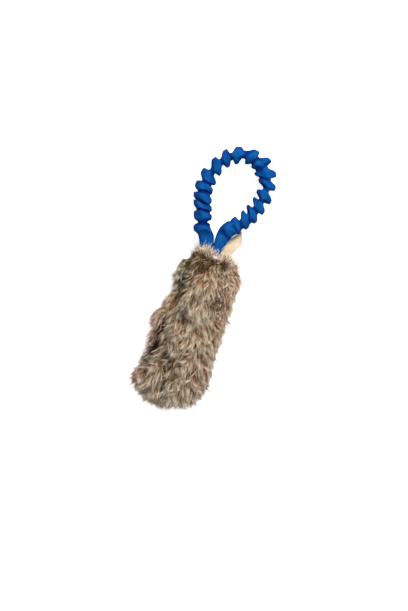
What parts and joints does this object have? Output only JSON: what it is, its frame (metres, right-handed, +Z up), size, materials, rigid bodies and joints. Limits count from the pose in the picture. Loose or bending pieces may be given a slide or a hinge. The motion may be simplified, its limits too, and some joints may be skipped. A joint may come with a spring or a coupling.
{
  "type": "bungee tug toy",
  "caption": "Dog tug toy: a stuffed rabbit-fur bite section sewn to a gathered blue fabric loop handle over a bungee cord, with a folded cloth label at the neck",
  "frame": {"origin": "on the floor plane, under the middle of the fur-covered body", "axes": "+Z is up as the toy lies on the floor, +Y runs along the body towards the loop handle, +X is to the right seen from above"},
  "size_m": [0.0958, 0.3468, 0.0661],
  "materials": {
    "rabbit_fur": "long soft hair pile",
    "hide": "tanned, undyed",
    "stuffing": "loose fibre",
    "webbing": "woven strap",
    "sleeve_cloth": "woven nylon, slight sheen",
    "blue_thread": "sewing thread",
    "pale_thread": "sewing thread",
    "bungee_cord": "braided cover over rubber strands",
    "label_tape": "woven tape, bare"
  },
  "bodies": {
    "tug_body": {"fur_coat": "rabbit_fur", "pelt_hide": "hide", "stuffing": "stuffing", "core_strap": "webbing", "side_seam_thread": "pale_thread", "mouth_seam_thread": "pale_thread", "left_tail_root": "sleeve_cloth", "right_tail_root": "sleeve_cloth", "left_neck_tack": "pale_thread", "right_neck_tack": "pale_thread"},
    "handle_base": {"left_tail": "sleeve_cloth", "right_tail": "sleeve_cloth", "left_tail_tack": "blue_thread", "right_tail_tack": "blue_thread", "sleeve_left_leg": "sleeve_cloth", "sleeve_right_leg": "sleeve_cloth", "bungee_left_leg": "bungee_cord", "bungee_right_leg": "bungee_cord", "label_stitch": "pale_thread"},
    "grip": {"sleeve_grip": "sleeve_cloth", "bungee_grip": "bungee_cord"},
    "label": {"label": "label_tape"}
  },
  "joints": [
    {"name": "handle_fold", "type": "hinge", "parent": "tug_body", "child": "handle_base", "pos_m": [-0.0063, 0.1015, 0.024], "axis": [1, 0, 0], "range_deg": [-45, 90]},
    {"name": "bungee_stretch", "type": "slide", "parent": "handle_base", "child": "grip", "axis": [0.0533, 0.9986, 0], "range_m": [0, 0.08], "stiffness_N_per_m": 350, "deforming": ["sleeve_left_leg", "sleeve_right_leg", "bungee_left_leg", "bungee_right_leg"]},
    {"name": "label_flap", "type": "hinge", "parent": "handle_base", "child": "label", "pos_m": [0.0085, 0.1092, 0.019], "axis": [0.7771, -0.6293, 0], "range_deg": [-15, 10]}
  ]
}
